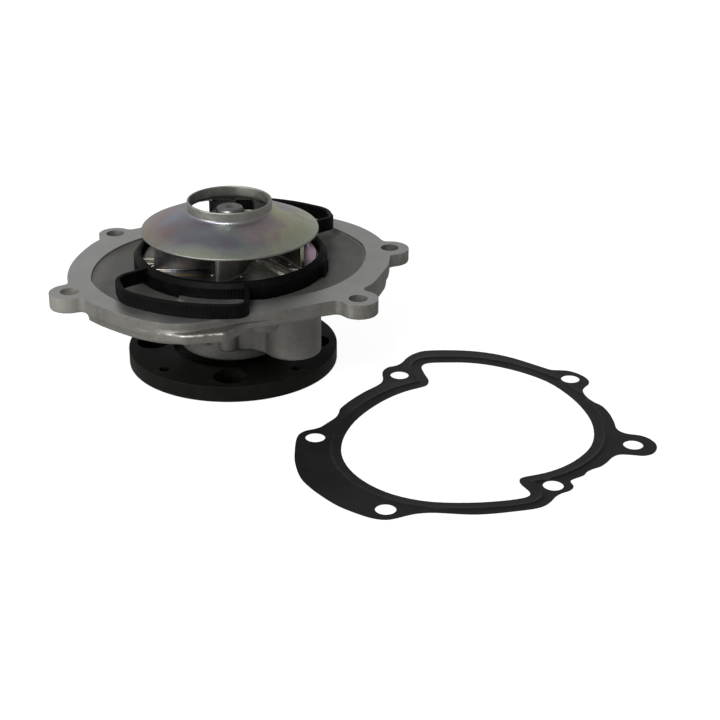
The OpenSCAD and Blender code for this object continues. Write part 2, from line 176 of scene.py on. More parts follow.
def cast_aluminium(name, tone=1.0, grain=1.0):
    """Die-cast skin: fine grain, flow clouds, small bright flecks and a scuffed ledge."""
    s = Shader(name, Metallic=0.8)
    clouds = s.noise(16, 4, 0.6)
    grains = s.noise(0.6, 3, 0.6)
    flecks = s.span(s.noise(1.1, 1, 0.4), 0.68, 0.74)
    worn = s.product(s.edges(0.53, 0.60), s.span(s.noise(5, 3, 0.6), 0.4, 0.6))
    dark = shaded((0.155, 0.15, 0.134), tone)
    light = shaded((0.246, 0.24, 0.218), tone)
    colour = s.mix(s.span(clouds, 0.3, 0.7), dark, light)
    colour = s.mix(s.span(grains, 0.38, 0.62, 0.0, 0.45), colour, shaded(light, 1.22))
    colour = s.mix(s.product(flecks, 0.2), colour, (0.4, 0.39, 0.36))
    colour = s.mix(s.product(worn, 0.4), colour, (0.42, 0.41, 0.38))
    # The ledge below the front edge has been knocked bright along its ridge
    x, y, z = s.axes()
    ridge = s.product(s.fade(y, -58, -62), s.band(z, 42.7, 43.1, 43.3, 43.7),
                      s.band(x, -36, -24, 1, 7))
    scuff = s.product(ridge, s.span(s.noise(2.6, 4, 0.7, (0.5, 1, 1)), 0.45, 0.6))
    colour = s.mix(s.product(scuff, 0.9), colour, (0.86, 0.85, 0.8))
    # Painted shade: the crease above that ridge is darkened
    crease_shade = s.product(s.band(z, 43.7, 44.0, 44.3, 44.8), s.fade(y, -57, -60), s.fade(x, -22, -8))
    colour = s.mix(s.product(crease_shade, 0.7), colour, (0.05, 0.048, 0.042))
    # The lug furthest from the gasket is paler, in place of light that the stage doesn't give
    colour = s.mix(s.fade(x, -66, -54, 0.62, 0.0), colour, (0.46, 0.44, 0.40))
    normal = s.bump(grains, 0.05 * grain)
    normal = s.bump(clouds, 0.35 * grain, normal)
    return s.finish(colour, s.span(grains, 0.3, 0.7, 0.46, 0.62), normal)


def milled_aluminium():
    """Flange face: cutter arcs, a light smear of handling marks and fine scratches."""
    s = Shader("milled_aluminium", Metallic=0.92)
    x, y, _ = s.axes()
    # The face cutter's centre moves along X, so its marks are arcs of one radius
    cutter_r, mark_size = 110 * MM, 1.9
    far = s.calc("SQRT", s.calc("SUBTRACT", cutter_r ** 2, s.calc("POWER", y, 2.0)))
    lane = s.calc("SUBTRACT", x, far)
    arcs = s.node("ShaderNodeTexWave", {
        "Vector": s.node("ShaderNodeCombineXYZ", {0: lane}).outputs[0],
        "Scale": 1 / MM / mark_size,
        "Distortion": 0.8, "Detail": 2, "Detail Scale": 1.5}, bands_direction="X").outputs[1]
    smear = s.noise(22, 3, 0.55, distortion=0.4)
    fine = s.noise(0.9, 2, 0.5, (0.25, 1, 1))
    colour = s.mix(s.span(smear, 0.3, 0.7), (0.425, 0.425, 0.405), (0.525, 0.525, 0.50))
    colour = s.mix(s.span(fine, 0.4, 0.7, 0.0, 0.3), colour, (0.58, 0.58, 0.57))
    normal = s.bump(arcs, 0.004)
    normal = s.bump(fine, 0.006, normal)
    return s.finish(colour, s.span(smear, 0.3, 0.7, 0.36, 0.45), normal)


def black_rubber():
    """Flow seal: matt rubber with a little dust on it."""
    s = Shader("black_rubber", Specular_IOR_Level=0.08)
    dust = s.noise(6, 4, 0.65)
    grain = s.noise(0.35, 2, 0.5)
    colour = s.mix(s.span(dust, 0.45, 0.75, 0, 0.6), (0.0014, 0.0014, 0.0016), (0.0055, 0.0055, 0.0058))
    rough = s.span(dust, 0.3, 0.7, 0.42, 0.6)
    return s.finish(colour, rough, s.bump(grain, 0.02))


def dark_coat():
    """Black electro-coat on the hub: faint orange peel, rubbed thin at the edges."""
    s = Shader("dark_coat", Specular_IOR_Level=0.09)
    clouds = s.noise(9, 4, 0.6)
    peel = s.noise(0.9, 2, 0.5)
    rub = s.product(s.edges(0.52, 0.58), s.span(s.noise(3, 3), 0.45, 0.65))
    colour = s.mix(s.span(clouds, 0.3, 0.7), (0.0050, 0.0050, 0.0035), (0.0088, 0.0087, 0.0063))
    colour = s.mix(s.product(rub, 0.35), colour, (0.06, 0.058, 0.05))
    return s.finish(colour, s.span(clouds, 0.3, 0.7, 0.46, 0.6), s.bump(peel, 0.025))


def zinc_passivate(name, tint=1.0, dark=1.0):
    """Zinc-plated sheet whose passivation film drifts from rose through blue to straw."""
    s = Shader(name, Metallic=1.0)
    x, _, _ = s.axes()
    drift = s.noise(30, 3, 0.5, distortion=0.8)
    small = s.noise(5, 3, 0.6, distortion=0.5)
    stains = s.noise(2.4, 4, 0.7)
    # The film changes across the disc from one side to the other, and towards the rim
    film = s.calc("ADD", s.fade(x, -42, 42, 0.0, 0.72), s.span(drift, 0.3, 0.7, -0.1, 0.34))
    film = s.calc("ADD", film, s.span(small, 0.3, 0.7, -0.04, 0.04))
    tones = [(0.0, (0.31, 0.30, 0.19)), (0.11, (0.325, 0.225, 0.18)), (0.25, (0.295, 0.23, 0.245)),
             (0.39, (0.29, 0.30, 0.365)), (0.53, (0.38, 0.415, 0.40)), (0.66, (0.51, 0.405, 0.43)),
             (0.80, (0.66, 0.64, 0.42)), (1.0, (0.52, 0.55, 0.42))]
    # dark scales the whole finish down; the copy for the impeller's inside uses it as painted shade
    grey = shaded((0.42, 0.415, 0.40), dark)
    film_colour = s.ramp(film, [(place, shaded(colour, dark)) for place, colour in tones])
    colour = s.mix(0.85 * tint, grey, film_colour)
    rim = s.product(s.fade(s.from_axis(), 33, 40), s.span(drift, 0.35, 0.6, 0.5, 0.95),
                    s.fade(x, -36, -12, 0.15, 1.0))
    colour = s.mix(s.product(rim, tint), colour, shaded((0.60, 0.66, 0.51), dark))
    colour = s.mix(s.span(stains, 0.58, 0.78, 0, 0.3), colour, shaded(grey, 0.35))
    rolled = s.noise(0.8, 2, 0.5, (0.2, 1, 1))
    normal = s.bump(rolled, 0.003)
    normal = s.bump(small, 0.05, normal)
    return s.finish(colour, s.span(stains, 0.3, 0.7, 0.28, 0.38), normal)


def zinc_land():
    """Foot of the impeller: dark film with a rose patch, a brown one and a golden streak of painted
    reflection.
    """
    s = Shader("zinc_passivate_land", Metallic=1.0)
    x, y, _ = s.axes()
    drift = s.noise(9, 3, 0.55, distortion=0.6)
    stains = s.noise(2.6, 4, 0.7)
    dark = s.ramp(drift, [(0.35, (0.17, 0.165, 0.125)), (0.5, (0.26, 0.26, 0.24)),
                          (0.65, (0.40, 0.385, 0.39))])
    rose = s.ramp(drift, [(0.4, (0.62, 0.47, 0.54)), (0.6, (0.80, 0.56, 0.70))])
    colour = s.mix(s.fade(x, 32.5, 34.5), dark, rose)
    colour = s.mix(s.fade(x, -38.5, -36.5, 0.9, 0.0), colour, (0.19, 0.155, 0.13))
    # Painted reflection: a golden streak across the foot, on the side away from the loose gasket
    slant = math.radians(-5)
    along = s.calc("ADD", s.product(x, math.cos(slant)), s.product(y, math.sin(slant)))
    across = s.calc("SUBTRACT", s.product(y, math.cos(slant)), s.product(x, math.sin(slant)))
    golden_reflection = s.product(s.band(along, -24, -18, -13, -7), s.band(across, -30.5, -28.5, -28.0, -26.2))
    colour = s.mix(golden_reflection, colour, (0.85, 0.58, 0.27))
    colour = s.mix(s.span(stains, 0.55, 0.75, 0, 0.4), colour, (0.08, 0.075, 0.06))
    return s.finish(colour, s.span(stains, 0.3, 0.7, 0.25, 0.38), s.bump(stains, 0.01))


def turned_steel(name, colour, pitch, rough):
    """Ground or turned steel, its fine rings running round the shaft axis."""
    s = Shader(name, Metallic=1.0)
    _, _, z = s.axes()
    rings = s.node("ShaderNodeTexWave", {
        "Vector": s.node("ShaderNodeCombineXYZ", {0: s.from_axis(), 1: z}).outputs[0],
        "Scale": 1 / MM / pitch / 6, "Distortion": 1.5, "Detail": 2}, bands_direction="DIAGONAL")
    stain = s.noise(3, 4, 0.6)
    tone = s.mix(s.span(stain, 0.35, 0.75), colour, shaded(colour, 0.55))
    return s.finish(tone, s.span(stain, 0.3, 0.7, rough, rough + 0.15),
                    s.bump(rings.outputs[1], 0.004))


def plain_stuff(name, light, dark, rough, metallic=0.0, size=2.0, depth=0.02):
    """Mottled finish for the small inner pieces."""
    s = Shader(name, Metallic=metallic)
    mottle = s.noise(size, 4, 0.6)
    fine = s.noise(size / 5, 2)
    return s.finish(s.mix(s.span(mottle, 0.3, 0.7), dark, light),
                    s.span(mottle, 0.3, 0.7, rough, rough + 0.15), s.bump(fine, depth))


def coated_sheet():
    """Gasket: black rubber coating on sheet steel, slightly mottled."""
    s = Shader("coated_sheet", Specular_IOR_Level=0.2)
    clouds = s.noise(16, 3, 0.6)
    grain = s.noise(0.5, 3, 0.6)
    colour = s.mix(s.span(clouds, 0.35, 0.7), (0.0062, 0.0062, 0.0062), (0.0118, 0.0118, 0.0112))
    return s.finish(colour, s.span(grain, 0.3, 0.7, 0.36, 0.5), s.bump(grain, 0.012))


CAST = cast_aluminium("cast_aluminium")
# The recess floor takes a darker copy of the cast skin (tone 0.78, less grain): painted shade in the
# recess
RECESS_SHADED = cast_aluminium("cast_recess_painted_shade", 0.78, 0.6)
MILLED = milled_aluminium()
RUBBER = black_rubber()
COAT = dark_coat()
ZINC = zinc_passivate("zinc_passivate")
# Darker copy of the film (dark 0.66) for the segments and the back plate inside the impeller: painted
# shade
ZINC_SHADED = zinc_passivate("zinc_passivate_painted_shade", 0.8, 0.66)
ZINC_LAND = zinc_land()
ZINC_BORE = plain_stuff("zinc_passivate_bore", (0.46, 0.455, 0.41), (0.35, 0.345, 0.31), 0.42, 1.0, 5)
ZINC_EYE = plain_stuff("zinc_passivate_eye", (0.34, 0.335, 0.305), (0.24, 0.238, 0.215), 0.34, 1.0, 4)
ZINC_EDGE = zinc_passivate("zinc_passivate_edge", 0.5, 1.0)
STEEL = turned_steel("ground_steel", (0.27, 0.265, 0.25), 0.5, 0.3)
DULL = turned_steel("insert_steel", (0.22, 0.215, 0.2), 0.7, 0.34)
# Weld spots are real spots; their bright colour is a painted highlight
WELD_HIGHLIGHT = plain_stuff("weld_spot_painted_highlight", (0.75, 0.74, 0.68), (0.5, 0.48, 0.42), 0.16, 1.0, 0.8)
# Bright strips along the bends of the segments: painted highlights
FOLD_HIGHLIGHT = plain_stuff("fold_painted_highlight", (0.74, 0.74, 0.62), (0.5, 0.5, 0.4), 0.34, 0.35, 2)
GASKET = coated_sheet()


# ---- Meshes ----


def piece(name, mesh, body, replaced, materials, sharp=35):
    """A new object that rides on a body and stands for CAD nodes."""
    for material in materials:
        mesh.materials.append(material)
    mesh.shade_smooth()
    mesh.set_sharp_from_angle(angle=math.radians(sharp))
    made = bpy.data.objects.new(name, mesh)
    bpy.context.scene.collection.objects.link(made)
    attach(made, body)
    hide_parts(*replaced)
    return made


def mesh_of(name, verts, faces):
    """A mesh from points in millimetres."""
    mesh = bpy.data.meshes.new(name)
    mesh.from_pydata([tuple(c * MM for c in v) for v in verts], [], faces)
    return mesh


def tidy_normals(mesh, merge=0.0):
    """Faces turned outward, after points closer than merge are made one."""
    bm = bmesh.new()
    bm.from_mesh(mesh)
    if merge:
        bmesh.ops.remove_doubles(bm, verts=bm.verts, dist=merge * MM)
    bmesh.ops.recalc_face_normals(bm, faces=bm.faces)
    bm.to_mesh(mesh)
    bm.free()


def filleted(corners, steps=5):
    """Closed profile whose corners (x, y, radius) are rounded."""
    out = []
    count = len(corners)
    for i, (x, y, radius) in enumerate(corners):
        here = Vector((x, y))
        before = Vector(corners[i - 1][:2]) - here
        after = Vector(corners[(i + 1) % count][:2]) - here
        if radius <= 0:
            out.append((x, y))
            continue
        half = before.angle(after) / 2
        reach = min(radius / math.tan(half), before.length * 0.49, after.length * 0.49)
        a, b = here + before.normalized() * reach, here + after.normalized() * reach
        for k in range(steps + 1):
            t = k / steps
            p = a * (1 - t) ** 2 + here * 2 * t * (1 - t) + b * t * t
            out.append((p.x, p.y))
    return out


def lathe(name, profile, turns=160, ripple=None):
    """Closed profile of (radius, z) turned about the shaft axis."""
    verts, faces = [], []
    count = len(profile)
    for i in range(turns):
        a = 2 * math.pi * i / turns
        for r, z in profile:
            dr, dz = ripple(a, r) if ripple else (0.0, 0.0)
            verts.append(((r + dr) * math.cos(a), (r + dr) * math.sin(a), z + dz))
    for i in range(turns):
        for k in range(count):
            j, m = (i + 1) % turns, (k + 1) % count
            faces.append((i * count + k, j * count + k, j * count + m, i * count + m))
    mesh = mesh_of(name, verts, faces)
    tidy_normals(mesh)
    return mesh


def mesh_from(bm, name):
    """The bmesh as a new mesh; the bmesh itself is freed."""
    mesh = bpy.data.meshes.new(name)
    bm.to_mesh(mesh)
    bm.free()
    return mesh


def joined(name, meshes):
    """Several meshes in one, their material numbers kept."""
    bm = bmesh.new()
    for mesh in meshes:
        bm.from_mesh(mesh)
    return mesh_from(bm, name)


def copy_of(node):
    """The CAD node's mesh as a bmesh with its seams merged."""
    bm = bmesh.new()
    bm.from_mesh(nodes[node].data)
    bmesh.ops.remove_doubles(bm, verts=bm.verts, dist=2e-6)
    return bm


def with_modifiers(mesh, *settings):
    """The mesh after a stack of modifiers, each (type, {setting: value})."""
    made = bpy.data.objects.new("working", mesh)
    bpy.context.scene.collection.objects.link(made)
    for kind, values in settings:
        modifier = made.modifiers.new(kind, kind)
        for key, value in values.items():
            setattr(modifier, key, value)
    graph = bpy.context.evaluated_depsgraph_get()
    out = bpy.data.meshes.new_from_object(made.evaluated_get(graph))
    bpy.data.objects.remove(made)
    return out


def softened(mesh, voxel, passes):
    """The mesh with its edges rounded and its corners filled, then thinned out."""
    return with_modifiers(
        mesh,
        ("REMESH", {"mode": "VOXEL", "voxel_size": voxel * MM}),
        ("SMOOTH", {"factor": 0.5, "iterations": passes}),
        ("DECIMATE", {"ratio": 0.3}))


def make_housing():
    """The casting with rounded edges and fillets, and its flange milled flat and sharp."""
    bm = copy_of("housing")
    # Metal for the cutter, so that the rounding stays above the finished face
    allowance, close = 1.2, 0.01
    for v in bm.verts:
        if v.co.z > (FLANGE_Z - close) * MM:
            v.co.z += allowance * MM
    # Small rounded pad under the shell, beside the reservoir boss
    bmesh.ops.create_cone(bm, cap_ends=True, segments=48, radius1=PAD_R * MM, radius2=PAD_R * MM,
                          depth=PAD_T * MM, matrix=Matrix.Translation(PAD_AT * MM))
    cast = softened(mesh_from(bm, "housing_raw"), 0.55, 7)
    bm = bmesh.new()
    bm.from_mesh(cast)
    cut = bmesh.ops.bisect_plane(
        bm, geom=bm.verts[:] + bm.edges[:] + bm.faces[:], dist=1e-7,
        plane_co=(0, 0, FLANGE_Z * MM), plane_no=(0, 0, 1), clear_outer=True)
    rim = [e for e in cut["geom_cut"] if isinstance(e, bmesh.types.BMEdge)]
    bmesh.ops.triangle_fill(bm, edges=rim, use_beauty=True, normal=(0, 0, 1))
    bmesh.ops.recalc_face_normals(bm, faces=bm.faces)
    skin, face, recess = range(3)
    for f in bm.faces:
        z = f.calc_center_median().z / MM
        f.material_index = skin
        if z > FLANGE_Z - close:
            f.material_index = face
        # Recess floor faces take the darker copy: painted shade
        elif abs(z - FLOOR_Z) < 0.3 and f.normal.z > 0.97:
            f.material_index = recess
    return piece("housing_cast", mesh_from(bm, "housing_cast"), "housing", ["housing"],
                 [CAST, MILLED, RECESS_SHADED], 50)


def shroud_ripple(a, r):
    """Slight unevenness of the pressed shroud, growing from the eye to the rim."""
    out = max(0.0, (r - 22) / 18)
    return 0.0, out * (0.05 * math.sin(3 * a + 0.7) + 0.035 * math.sin(5 * a))


def make_shroud():
    """The coned sheet with its eye, its profile run up the outside and down the inside."""
    cone_r, cone_z, eye_foot = 31, 69.25, 73.7
    eye_in = EYE_R - SHEET_T
    profile = filleted([
        (SHROUD_R, SHROUD_RIM_Z - 0.85, 0.35), (SHROUD_R, SHROUD_RIM_Z, 0.4),
        (cone_r, cone_z, 12), (EYE_R, eye_foot, 1.7), (EYE_R, EYE_TOP, 0.42),
        (eye_in, EYE_TOP, 0.42), (eye_in, eye_foot - 0.6, 2.2),
        (cone_r - 0.2, cone_z - SHEET_T, 12)], 8)
    mesh = lathe("shroud", profile, 220, shroud_ripple)
    film, bore, eye = range(3)
    for f in mesh.polygons:
        middle = f.center
        outward = f.normal.x * middle.x + f.normal.y * middle.y
        f.material_index = film
        if (outward < 0 and f.normal.z < 0.3) or middle.z > (EYE_TOP - 0.6) * MM:
            f.material_index = bore
        elif (middle.z > (eye_foot + 0.9) * MM
              or math.hypot(middle.x, middle.y) > (SHROUD_R - 0.2) * MM):
            f.material_index = eye
    return piece("impeller_shroud_sheet", mesh, "rotor", ["impeller_shroud"],
                 [ZINC, ZINC_BORE, ZINC_EYE], 60)


def notch(travel):
    """Depth of the fine grooves between the ribs of the moulded seal."""
    pitch, depth = 1.7, 0.16
    phase = (travel / pitch) % 1.0
    return depth * max(0.0, 1 - abs(phase - 0.5) / 0.2)


def quad_corner(p, c, q, reach):
    """The points that round corner c of a path between p and q."""
    steps = 14
    p, c, q = Vector(p), Vector(c), Vector(q)
    a, b = c + (p - c).normalized() * reach, c + (q - c).normalized() * reach
    return [a * (1 - t) ** 2 + c * 2 * t * (1 - t) + b * t * t
            for t in (k / steps for k in range(steps + 1))]


def polar(radius, degrees):
    """A point round the shaft axis."""
    a = math.radians(degrees)
    return Vector((radius * math.cos(a), radius * math.sin(a)))


def even(path, step):
    """The path resampled at an even step."""
    out, carry = [path[0]], 0.0
    for a, b in zip(path, path[1:]):
        length = (b - a).length
        at = step - carry
        while at < length:
            out.append(a.lerp(b, at / length))
            at += step
        carry = (carry + length) % step
    return out + [path[-1]]


def loop_mesh(turn, lift, climb=0.0, reach=47.0):
    """One outlet loop of the flow seal: a ribbed wall with a rounded top."""
    start = polar(43, -146)
    path = [start] + quad_corner(start, (-reach, -33.4), (1 - reach, -44), 5.5)
    path += quad_corner((-reach, -33.4), (-43.6, -49.5), (-33, -56.4), 6)
    path += [polar(LOOP_R, -119 + 31 * k / 30) for k in range(31)]
    path += quad_corner(polar(LOOP_R, -88), (12, -64.4), (10.6, -50), 6) + [Vector((10.4, -41.9))]
    path = even(path, 0.2)
    foot, top = FLANGE_Z + SEAL_GAP + lift, LOOP_TOP + lift
    section = filleted([(-LOOP_HALF, foot, 0.25), (-LOOP_HALF, top, 0.6), (LOOP_HALF, top, 0.6),
                        (LOOP_HALF, foot, 0.25)], 4)
    verts, faces = [], []
    count, travel = len(section), 0.0
    for i, here in enumerate(path):
        ahead = path[min(i + 1, len(path) - 1)] - path[max(i - 1, 0)]
        across = Vector((-ahead.y, ahead.x)).normalized()
        travel += (here - path[max(i - 1, 0)]).length
        groove = notch(travel)
        for side, z in section:
            inset = groove if abs(side) > LOOP_HALF - 0.05 else 0.0
            spot = here + across * (side - math.copysign(inset, side))
            # The loop stands higher by climb for its first 9 mm, and comes down by 24 mm
            verts.append((spot.x, spot.y, z + climb * max(0.0, min(1.0, 1.6 - travel / 15))))
    for i in range(len(path) - 1):
        for k in range(count):
            m = (k + 1) % count
            faces.append((i * count + k, i * count + m, (i + 1) * count + m, (i + 1) * count + k))
    faces.append(tuple(range(count)))
    faces.append(tuple((len(path) - 1) * count + k for k in range(count)))
    mesh = mesh_of("loop", verts, faces)
    mesh.transform(Matrix.Rotation(math.radians(turn), 4, "Z"))
    tidy_normals(mesh)
    return mesh


def block(size, place, turn, radius):
    """A box with rounded edges, turned about the shaft axis."""
    bm = bmesh.new()
    bmesh.ops.create_cube(bm, size=1.0)
    bmesh.ops.scale(bm, vec=[c * MM for c in size], verts=bm.verts)
    bmesh.ops.bevel(bm, geom=bm.edges[:], offset=radius * MM, segments=3, affect="EDGES")
    bmesh.ops.translate(bm, vec=[c * MM for c in place], verts=bm.verts)
    mesh = mesh_from(bm, "block")
    mesh.transform(Matrix.Rotation(math.radians(turn), 4, "Z"))
    return mesh


def make_flow_seal():
    """The rubber seal: a grooved ring with a grip pad and two outlet loops."""
    foot = FLOOR_Z + SEAL_GAP
    profile = filleted([
        (RING_IN, foot, 0.2), (RING_OUT, foot, 0.2), (RING_OUT, RING_TOP - 2.3, 0.3),
        (RING_OUT - 0.5, RING_TOP - 1.8, 0.3), (RING_OUT - 1.7, RING_TOP - 0.3, 0.3),
        (RING_OUT - 2.2, RING_TOP, 0.4), (RING_IN + 0.4, RING_TOP, 0.35),
        (RING_IN, RING_TOP - 0.4, 0.3)], 3)

    def grooves(a, r):
        return (-notch(a * RING_OUT) if r > RING_OUT - 0.05 else 0.0), 0.0

    ring = lathe("ring", profile, 1640, grooves)
    pad = block((3.6, 8.2, 7.0), (RING_OUT - 0.35, 0, foot + 3.6), -15, 0.7)
    # The back loop stands higher, climbs at the impeller and ends a little shorter
    mesh = joined("flow_seal", [ring, pad, loop_mesh(0, 0.0),
                                loop_mesh(180, BACK_LIFT, 2.0, 45.8)])
    return piece("flow_seal_moulded", mesh, "housing", ["flow_seal"], [RUBBER], 40)


def drilled(mesh, holes):
    """The mesh with round holes, each (x, y, radius, low, high), cut along Z."""
    cutter = bmesh.new()
    for x, y, radius, low, high in holes:
        place = Matrix.Translation((x * MM, y * MM, (low + high) / 2 * MM))
        bmesh.ops.create_cone(cutter, cap_ends=True, segments=48, radius1=radius * MM,
                              radius2=radius * MM, depth=(high - low + 4) * MM, matrix=place)
    tool = bpy.data.objects.new("holes", mesh_from(cutter, "holes"))
    bpy.context.scene.collection.objects.link(tool)
    out = with_modifiers(mesh, ("BOOLEAN", {"operation": "DIFFERENCE", "solver": "EXACT",
                                            "object": tool}))
    bpy.data.objects.remove(tool)
    return out


def make_hub():
    """The pulley hub: a disc with a recess, a boss, a pilot bore and eight holes."""
    bore_r, pilot_depth, recess_z = 8, 1.5, HUB_T - 3.0
    profile = filleted([
        (bore_r, pilot_depth, 0), (PILOT_R, pilot_depth, 0), (PILOT_R, 0, 0.3), (HUB_R, 0, 0.5),
        (HUB_R, HUB_T, 0.6), (28, HUB_T, 0.4), (28, recess_z, 0.6), (15.5, recess_z, 0.6),
        (15.5, HUB_T, 0.3), (HUB_BOSS_R, HUB_T, 0.3), (HUB_BOSS_R, HUB_TOP, 0.3),
        (bore_r, HUB_TOP, 0)], 4)
    access_r, access_at, bolt_r, bolt_at = 7.5, 37.8, 2.5, 42.3
    holes = []
    for k in range(4):
        big, small = polar(access_at, -88 + 90 * k), polar(bolt_at, -43 + 90 * k)
        holes += [(big.x, big.y, access_r, 0, HUB_T), (small.x, small.y, bolt_r, 0, HUB_T)]
    mesh = drilled(lathe("hub", profile, 192), holes)
    return piece("drive_hub_disc", mesh, "rotor", ["drive_hub"], [COAT], 40)


def make_shaft():
    """The shaft with its ball groove, its step to the tip and a chamfered, centred end."""
    ball_path_r, groove_r, half_angle = 11.6, 3.88, 0.345
    groove = [(ball_path_r - groove_r * math.cos(a), BALL_ROW_Z + groove_r * math.sin(a))
              for a in np.linspace(-half_angle, half_angle, 9)]
    end = [(TIP_R, 1.6), (6.2, 1.1), (5.9, 0.3), (5.6, 0.05), (5.2, 0), (2.3, 0), (2.0, 0.08),
           (0.9, 0.8), (0, 0.9)]
    profile = [(0, 2), (SHAFT_R, 2)] + groove + [(SHAFT_R, SHAFT_STEP_Z), (TIP_R, SHAFT_STEP_Z)]
    profile += [(r, SHAFT_TOP - below) for r, below in end]
    mesh = lathe("shaft", profile, 96)
    tidy_normals(mesh, 0.001)
    return piece("shaft_bar", mesh, "rotor", ["shaft"], [STEEL], 35)


def make_insert():
    """The sleeve pressed on the shaft's end, with the flange that holds the back plate."""
    bore_r, flange_low, flange_high = 6.5, 51.25, 52.8
    profile = filleted([
        (bore_r, SHAFT_STEP_Z, 0), (INSERT_R, SHAFT_STEP_Z, 0), (INSERT_R, flange_low, 0),
        (INSERT_FLANGE_R, flange_low, 0.2), (INSERT_FLANGE_R, flange_high, 0.4),
        (INSERT_R, flange_high, 0.8), (INSERT_R, INSERT_TOP, 0.7), (bore_r, INSERT_TOP, 0.3)], 4)
    mesh = lathe("insert", profile, 96)
    return piece("impeller_insert", mesh, "rotor", ["impeller_hub"], [DULL], 40)


def dome(x, y, radius):
    """A small weld spot on the segment's foot."""
    height = 0.4
    profile = [(0, -0.1), (radius, -0.1), (radius, 0), (radius * 0.85, height * 0.55),
               (radius * 0.5, height * 0.9), (0, height)]
    mesh = lathe("weld", profile, 24)
    tidy_normals(mesh, 0.001)
    mesh.transform(Matrix.Translation((x * MM, y * MM, PLATE_TOP * MM)))
    return mesh


def make_segments():
    """The pressed segments with rounded bends, in a darker painted-shade copy of the film, with bright
    raised strips along the bends as painted highlights and resistance-weld spots made bright as painted
    highlights.
    """
    film, weld, edge, land, seam = range(5)
    welds = joined("welds", [dome(28, -13, 1.0), dome(34, -18, 0.9), dome(-6.1, -26.6, 0.9),
                             dome(21, 20, 0.9)])
    for f in welds.polygons:
        f.material_index = weld
    # Painted highlights: bright raised strips along the folded edges, each (length, distance out,
    # distance across, turn)
    highlight_strips = [(26, 27.6, 5.6, -54), (26, 27.6, 4.4, -54), (7, 33.5, -12.2, -14)]
    seams = joined("seams", [block((length, 0.42, 0.6), (out, across, 52.5), turn, 0.15)
                             for length, out, across, turn in highlight_strips])
    for f in seams.polygons:
        f.material_index = seam
    for number in (1, 2, 3):
        name = "vane_segment_%d" % number
        pressed = softened(mesh_from(copy_of(name), "segment_raw"), 0.3, 4)
        extra = joined("extra", [welds, seams])
        extra.transform(Matrix.Rotation(math.radians(120 * (number - 1)), 4, "Z"))
        for f in pressed.polygons:
            middle = f.center / MM
            # Most faces take the darker painted-shade copy of the film; the outer top edges keep its
            # full tone
            f.material_index = film
            if math.hypot(middle.x, middle.y) > 37.5 and middle.z > 53.2:
                f.material_index = edge
            elif middle.z < 52.5 and f.normal.z > 0.85:
                f.material_index = land
        piece(name + "_pressed", joined(name, [pressed, extra]), "rotor", [name],
              [ZINC_SHADED, WELD_HIGHLIGHT, ZINC_EDGE, ZINC_LAND, FOLD_HIGHLIGHT], 50)


def rings_of(mesh, height):
    """Closed outlines of the mesh's top face, the longest first, in millimetres."""
    bm = bmesh.new()
    bm.from_mesh(mesh)
    bmesh.ops.remove_doubles(bm, verts=bm.verts, dist=2e-6)
    top = {f for f in bm.faces if f.calc_center_median().z > (height - 0.05) * MM}
    rim = [e for e in bm.edges if sum(f in top for f in e.link_faces) == 1]
    next_of = {}
    for e in rim:
        a, b = e.verts
        next_of.setdefault(a.index, []).append(b.index)
        next_of.setdefault(b.index, []).append(a.index)
    spots = [(v.co.x / MM, v.co.y / MM) for v in bm.verts]
    bm.free()
    rings, left = [], set(next_of)
    while left:
        start = min(left)
        ring, last, here = [start], None, start
        left.discard(start)
        while True:
            options = [n for n in next_of[here] if n != last and n in left]
            if not options:
                break
            last, here = here, options[0]
            left.discard(here)
            ring.append(here)
        rings.append([spots[i] for i in ring])

    def girth(ring):
        return sum(math.dist(a, b) for a, b in zip(ring, ring[1:] + ring[:1]))

    return sorted(rings, key=girth, reverse=True)


def inside(points, ring):
    """True for each point that lies within the closed outline."""
    hit = np.zeros(len(points), bool)
    for (x0, y0), (x1, y1) in zip(ring, ring[1:] + ring[:1]):
        if y0 == y1:
            continue
        crosses = (points[:, 1] > y0) != (points[:, 1] > y1)
        at = x0 + (points[:, 1] - y0) / (y1 - y0) * (x1 - x0)
        hit ^= crosses & (points[:, 0] < at)
    return hit


def distance_to(points, ring):
    """Shortest distance from each point to the closed outline."""
    best = np.full(len(points), 1e9)
    for a, b in zip(ring, ring[1:] + ring[:1]):
        a, b = np.array(a), np.array(b)
        along = np.clip(((points - a) @ (b - a)) / max((b - a) @ (b - a), 1e-12), 0, 1)
        best = np.minimum(best, np.linalg.norm(points - a - along[:, None] * (b - a), axis=1))
    return best


